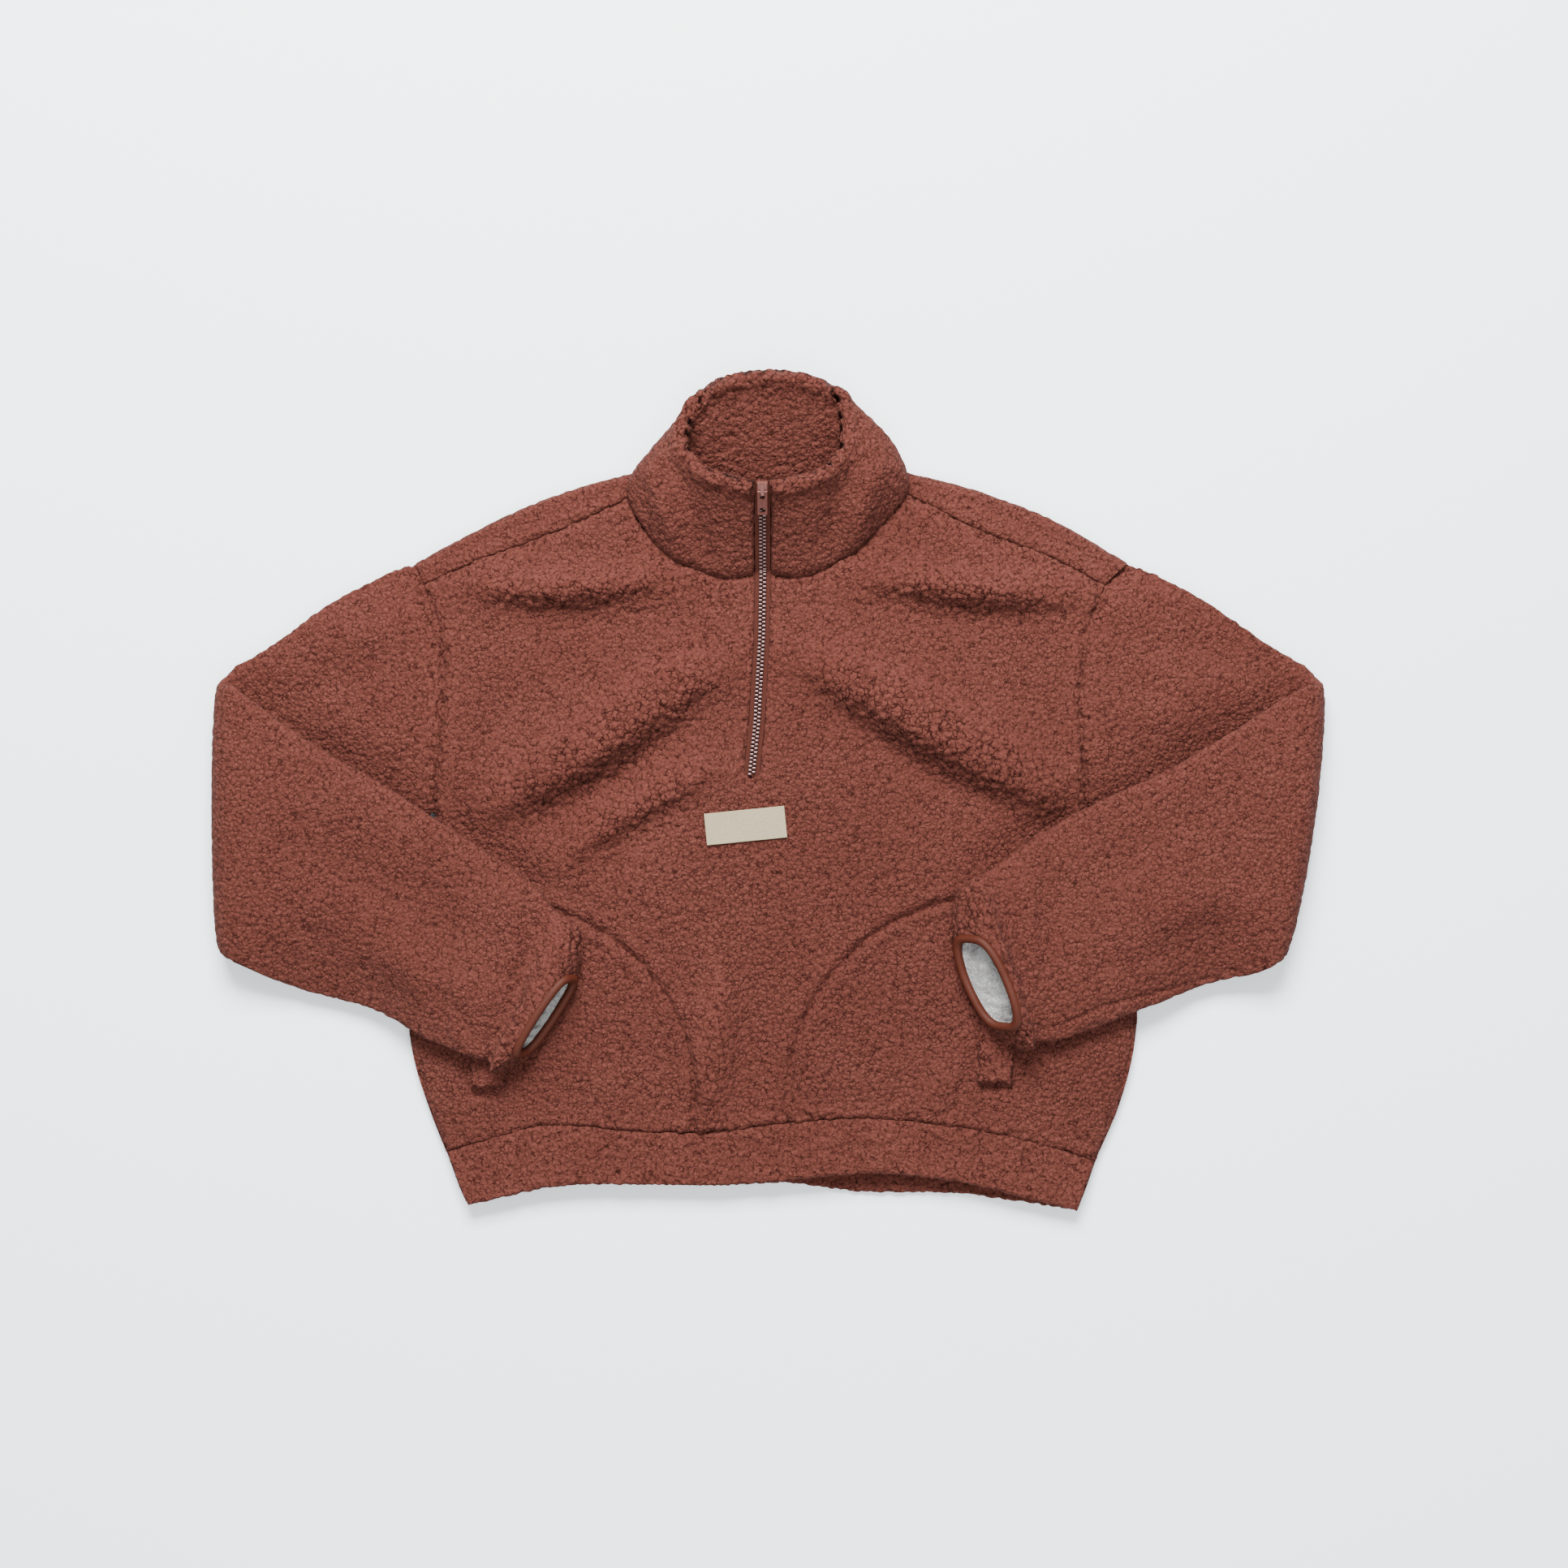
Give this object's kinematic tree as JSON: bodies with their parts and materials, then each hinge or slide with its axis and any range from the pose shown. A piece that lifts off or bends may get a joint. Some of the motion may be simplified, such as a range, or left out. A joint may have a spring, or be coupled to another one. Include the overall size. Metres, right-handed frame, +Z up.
{
  "type": "half-zip fleece pullover",
  "caption": "Sherpa fleece pullover with a half zip and stand collar, lying flat with both sleeves folded over the front.",
  "frame": {"origin": "middle of the floor under the garment's box", "axes": "+X to the right of the garment as seen from above, +Y towards the collar, +Z up from the surface it lies on"},
  "size_m": [0.8417, 0.6388, 0.0683],
  "materials": {
    "rust_sherpa": "curly sherpa pile, matt, with dark cracks between the clumps",
    "elastic_binding": "smooth elastic binding with a soft sheen",
    "satin_lining": "silver-grey satin with a soft gloss",
    "zip_tape_cloth": "woven zip tape, matt",
    "zip_teeth_metal": "mauve-silver moulded teeth, satin",
    "zip_slider_paint": "rust paint, semi-gloss",
    "label_cloth": "cream woven label, blank"
  },
  "bodies": {
    "garment": {"back_panel": "rust_sherpa", "front_panel": "rust_sherpa", "hem_band_front": "rust_sherpa", "hem_band_back": "rust_sherpa", "sleeve_left": "rust_sherpa", "sleeve_right": "rust_sherpa", "collar": "rust_sherpa", "pocket_welt_left": "rust_sherpa", "pocket_welt_right": "rust_sherpa", "cuff_binding_left": "elastic_binding", "cuff_binding_right": "elastic_binding", "cuff_lining_left": "satin_lining", "cuff_lining_right": "satin_lining", "zip_tape": "zip_tape_cloth", "zip_chain": "zip_teeth_metal", "zip_slider": "zip_slider_paint", "label": "label_cloth"},
    "pull_tab": {"zip_pull": "zip_slider_paint"}
  },
  "joints": [
    {"name": "pull_swing", "type": "hinge", "parent": "garment", "child": "pull_tab", "pos_m": [-0.00401, 0.22083, 0.06302], "axis": [-1, 0, 0], "range_deg": [0, 150]}
  ]
}
